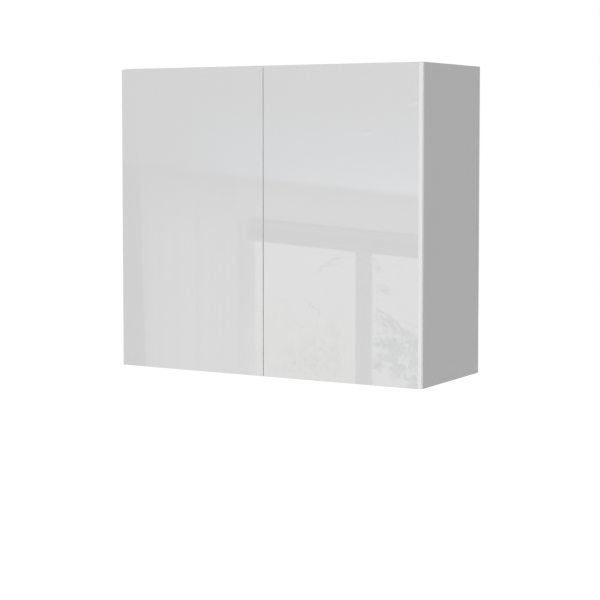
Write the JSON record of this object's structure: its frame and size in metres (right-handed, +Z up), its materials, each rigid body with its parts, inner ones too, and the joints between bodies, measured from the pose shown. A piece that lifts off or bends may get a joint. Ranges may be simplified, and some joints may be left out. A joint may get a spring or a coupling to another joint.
{
  "type": "kitchen wall cabinet",
  "caption": "Wall-hung frameless kitchen cabinet with flat handleless doors on cup hinges, loose shelves and a steel hanging rail.",
  "frame": {"origin": "on the wall plane, at the middle of the wall rail's screw line", "axes": "+X to the right, +Y to the wall, +Z up; the doors face -Y"},
  "size_m": [0.8, 0.319, 0.72],
  "materials": {
    "white_gloss_sheet": "acrylic high gloss, polished",
    "white_edge_band": "ABS edge band, glossy",
    "door_board": "medium-density board with a white melamine back",
    "grey_board": "chipboard with grey melamine, matt",
    "grey_edge_band": "ABS edge band, matt",
    "grey_back": "lacquered hardboard",
    "nickel_steel": "nickel-plated pressed steel",
    "zinc_steel": "zinc-plated steel",
    "zinc_diecast": "die-cast zinc, nickel-plated",
    "beech": "turned beech",
    "grey_plastic": "moulded polyamide",
    "white_plastic": "moulded polyoxymethylene",
    "clear_rubber": "clear soft polyurethane",
    "magnet": "sintered ferrite"
  },
  "bodies": {
    "cabinet": {"left_side_panel": "grey_board", "right_side_panel": "grey_board", "top_panel": "grey_board", "bottom_panel": "grey_board", "back_panel": "grey_back", "upper_shelf": "grey_board", "lower_shelf": "grey_board", "carcass_edge_bands": "white_edge_band", "shelf_edge_bands": "grey_edge_band", "shelf_pins": "nickel_steel", "cam_housings": "zinc_diecast", "cam_bolts": "zinc_steel", "cam_caps": "grey_plastic", "dowels": "beech", "left_hanger_housing": "zinc_steel", "right_hanger_housing": "zinc_steel", "hanger_draw_screws": "zinc_steel", "hanger_covers": "grey_plastic", "left_hinge_arms": "nickel_steel", "right_hinge_arms": "nickel_steel", "hinge_mounting_plates": "nickel_steel", "hinge_plate_screws": "zinc_steel", "hinge_arm_screws": "zinc_steel", "hinge_arm_pins": "zinc_steel", "latch_holders": "grey_plastic", "latch_barrels": "white_plastic", "latch_screws": "zinc_steel"},
    "hanging_rail": {"wall_rail": "zinc_steel", "left_hanger_hook": "zinc_steel", "right_hanger_hook": "zinc_steel"},
    "left_lift_screw": {"left_lift_screw": "zinc_steel"},
    "left_outer_links": {"left_outer_links": "nickel_steel"},
    "left_inner_links": {"left_inner_links": "nickel_steel"},
    "left_door": {"left_door_core": "door_board", "left_door_front": "white_gloss_sheet", "left_door_edge_band": "white_edge_band", "left_hinge_cups": "nickel_steel", "left_cup_screws": "zinc_steel", "left_cup_pins": "zinc_steel", "left_bumpers": "clear_rubber", "left_strike_plate": "zinc_steel"},
    "left_latch": {"left_latch_plunger": "white_plastic", "left_latch_magnet": "magnet"},
    "right_lift_screw": {"right_lift_screw": "zinc_steel"},
    "right_outer_links": {"right_outer_links": "nickel_steel"},
    "right_inner_links": {"right_inner_links": "nickel_steel"},
    "right_door": {"right_door_core": "door_board", "right_door_front": "white_gloss_sheet", "right_door_edge_band": "white_edge_band", "right_hinge_cups": "nickel_steel", "right_cup_screws": "zinc_steel", "right_cup_pins": "zinc_steel", "right_bumpers": "clear_rubber", "right_strike_plate": "zinc_steel"},
    "right_latch": {"right_latch_plunger": "white_plastic", "right_latch_magnet": "magnet"}
  },
  "joints": [
    {"name": "rail_height", "type": "slide", "parent": "cabinet", "child": "hanging_rail", "axis": [0, 0, 1], "range_m": [-0.004, 0.008]},
    {"name": "left_lift_screw_turn", "type": "hinge", "parent": "cabinet", "child": "left_lift_screw", "pos_m": [-0.369, -0.07225, 0.006], "axis": [0, 1, 0], "range_deg": [-1152.2, 2304.2]},
    {"name": "left_link_turn", "type": "hinge", "parent": "cabinet", "child": "left_outer_links", "pos_m": [-0.37084, -0.30491, 0], "axis": [0, 0, 1], "range_deg": [0, 53.9]},
    {"name": "left_door_swing", "type": "hinge", "parent": "left_outer_links", "child": "left_door", "pos_m": [-0.3866, -0.30703, 0], "axis": [0, 0, -1], "range_deg": [0, 163.95]},
    {"name": "left_inner_link_turn", "type": "hinge", "parent": "left_door", "child": "left_inner_links", "pos_m": [-0.39076, -0.30504, 0], "axis": [0, 0, 1], "range_deg": [0, 157.35]},
    {"name": "left_latch_slide", "type": "slide", "parent": "cabinet", "child": "left_latch", "axis": [0, -1, 0], "range_m": [0, 0.02001]},
    {"name": "right_lift_screw_turn", "type": "hinge", "parent": "cabinet", "child": "right_lift_screw", "pos_m": [0.369, -0.07225, 0.006], "axis": [0, 1, 0], "range_deg": [-1152.2, 2304.2]},
    {"name": "right_link_turn", "type": "hinge", "parent": "cabinet", "child": "right_outer_links", "pos_m": [0.37084, -0.30491, 0], "axis": [0, 0, -1], "range_deg": [0, 53.9]},
    {"name": "right_door_swing", "type": "hinge", "parent": "right_outer_links", "child": "right_door", "pos_m": [0.3866, -0.30703, 0], "axis": [0, 0, 1], "range_deg": [0, 163.95]},
    {"name": "right_inner_link_turn", "type": "hinge", "parent": "right_door", "child": "right_inner_links", "pos_m": [0.39076, -0.30504, 0], "axis": [0, 0, -1], "range_deg": [0, 157.35]},
    {"name": "right_latch_slide", "type": "slide", "parent": "cabinet", "child": "right_latch", "axis": [0, -1, 0], "range_m": [0, 0.02001]}
  ],
  "couplings": [
    {"joint": "left_lift_screw_turn", "follows": "rail_height", "rad_per_m": 5026.5},
    {"joint": "left_door_swing", "follows": "left_link_turn", "ratio": 3.0408},
    {"joint": "left_inner_link_turn", "follows": "left_link_turn", "ratio": 2.9184},
    {"joint": "left_latch_slide", "follows": "left_link_turn", "m_per_rad": 0.02126},
    {"joint": "right_lift_screw_turn", "follows": "rail_height", "rad_per_m": 5026.5},
    {"joint": "right_door_swing", "follows": "right_link_turn", "ratio": 3.0408},
    {"joint": "right_inner_link_turn", "follows": "right_link_turn", "ratio": 2.9184},
    {"joint": "right_latch_slide", "follows": "right_link_turn", "m_per_rad": 0.02126}
  ]
}
